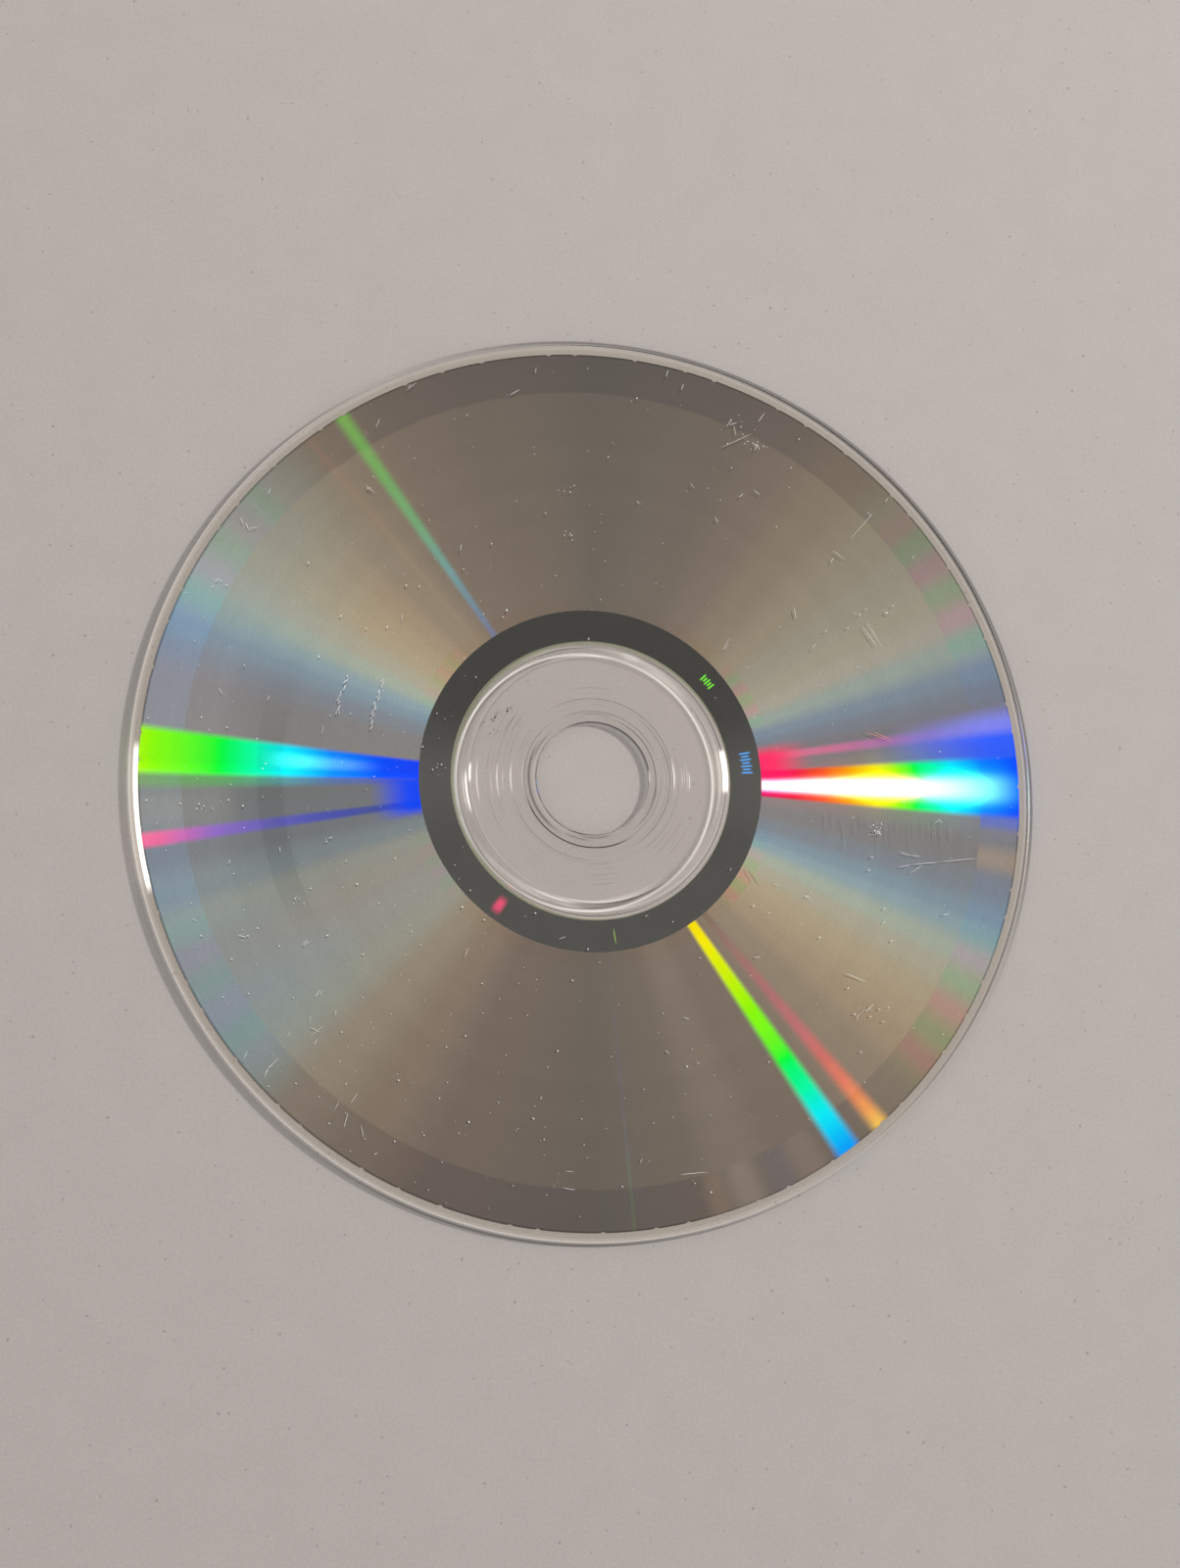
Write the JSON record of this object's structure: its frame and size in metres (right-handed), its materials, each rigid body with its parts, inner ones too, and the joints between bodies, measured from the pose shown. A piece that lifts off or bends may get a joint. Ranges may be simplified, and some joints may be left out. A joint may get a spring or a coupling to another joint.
{
  "type": "compact disc",
  "caption": "Thin round optical disc with a centre hole, a clear moulded body, a mirror film and a clear coat, lying data side up.",
  "frame": {"origin": "on the disc's axis, in the plane of the label side that it lies on", "axes": "+Z along the axis towards the data side, +X and +Y in the disc's plane"},
  "size_m": [0.12, 0.12, 0.0014],
  "materials": {
    "clear_plastic": "clear moulded polycarbonate, glossy, finely scratched",
    "mirror_film": "mirror aluminium with rainbow diffraction",
    "lacquer": "clear gloss lacquer, faintly yellow-green"
  },
  "bodies": {
    "root": {"substrate": "clear_plastic", "reflective_layer": "mirror_film", "lacquer_coat": "lacquer"}
  },
  "joints": []
}
